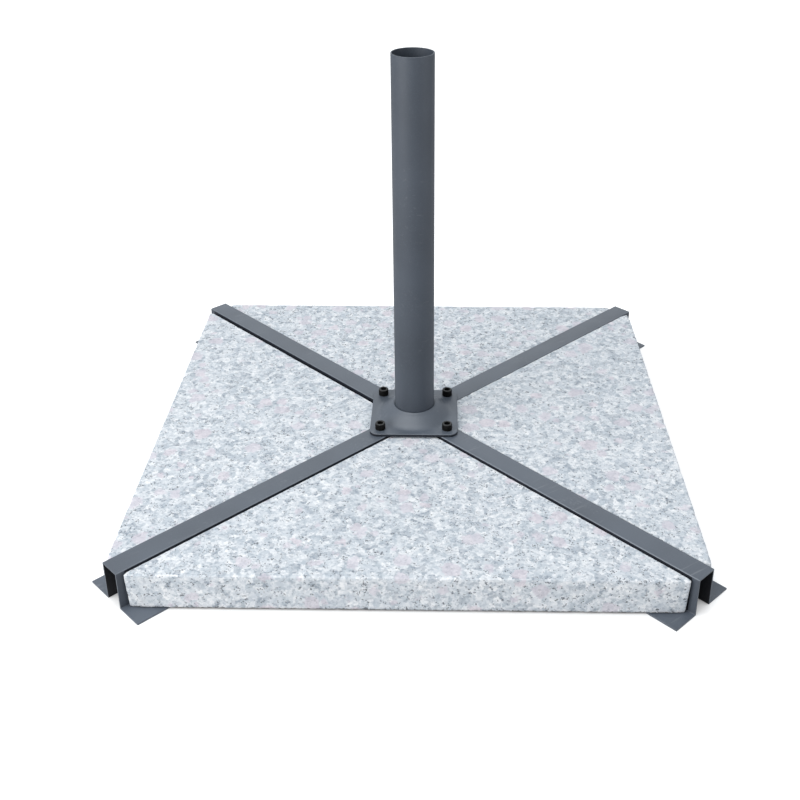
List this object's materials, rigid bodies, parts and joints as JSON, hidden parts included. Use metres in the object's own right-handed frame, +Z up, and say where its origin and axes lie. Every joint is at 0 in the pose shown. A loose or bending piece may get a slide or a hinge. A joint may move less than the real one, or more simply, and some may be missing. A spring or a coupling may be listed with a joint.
{
  "type": "parasol base",
  "caption": "Square parasol base: a folded steel cross carries loose granite slabs on its lips, and a flanged mast tube is screwed over its centre.",
  "frame": {"origin": "on the ground, under the mast's axis", "axes": "+Z up along the mast, +X to the right, +Y to the back; the steel arms lie along the diagonals"},
  "size_m": [0.9702, 0.9702, 0.725],
  "materials": {
    "granite": "matte",
    "frame_paint": "satin",
    "mast_paint": "satin",
    "black_steel": "satin",
    "zinc": "satin",
    "weld_metal": "matte"
  },
  "bodies": {
    "frame": {"arm_front_left": "frame_paint", "arm_front_right": "frame_paint", "arm_back_left": "frame_paint", "arm_back_right": "frame_paint", "joining_cross": "frame_paint", "mast_flange": "frame_paint", "mast_tube": "mast_paint", "mast_weld": "weld_metal", "screw_front_left": "black_steel", "screw_front_right": "black_steel", "screw_back_left": "black_steel", "screw_back_right": "black_steel", "nut_front_left": "zinc", "nut_front_right": "zinc", "nut_back_left": "zinc", "nut_back_right": "zinc"},
    "slab_front": {"stone_front": "granite"},
    "slab_right": {"stone_right": "granite"},
    "slab_back": {"stone_back": "granite"},
    "slab_left": {"stone_left": "granite"}
  },
  "joints": [
    {"name": "slab_front_slide", "type": "slide", "parent": "frame", "child": "slab_front", "axis": [0, -1, 0], "range_m": [0, 0.48]},
    {"name": "slab_right_slide", "type": "slide", "parent": "frame", "child": "slab_right", "axis": [1, 0, 0], "range_m": [0, 0.48]},
    {"name": "slab_back_slide", "type": "slide", "parent": "frame", "child": "slab_back", "axis": [0, 1, 0], "range_m": [0, 0.48]},
    {"name": "slab_left_slide", "type": "slide", "parent": "frame", "child": "slab_left", "axis": [-1, 0, 0], "range_m": [0, 0.48]}
  ]
}
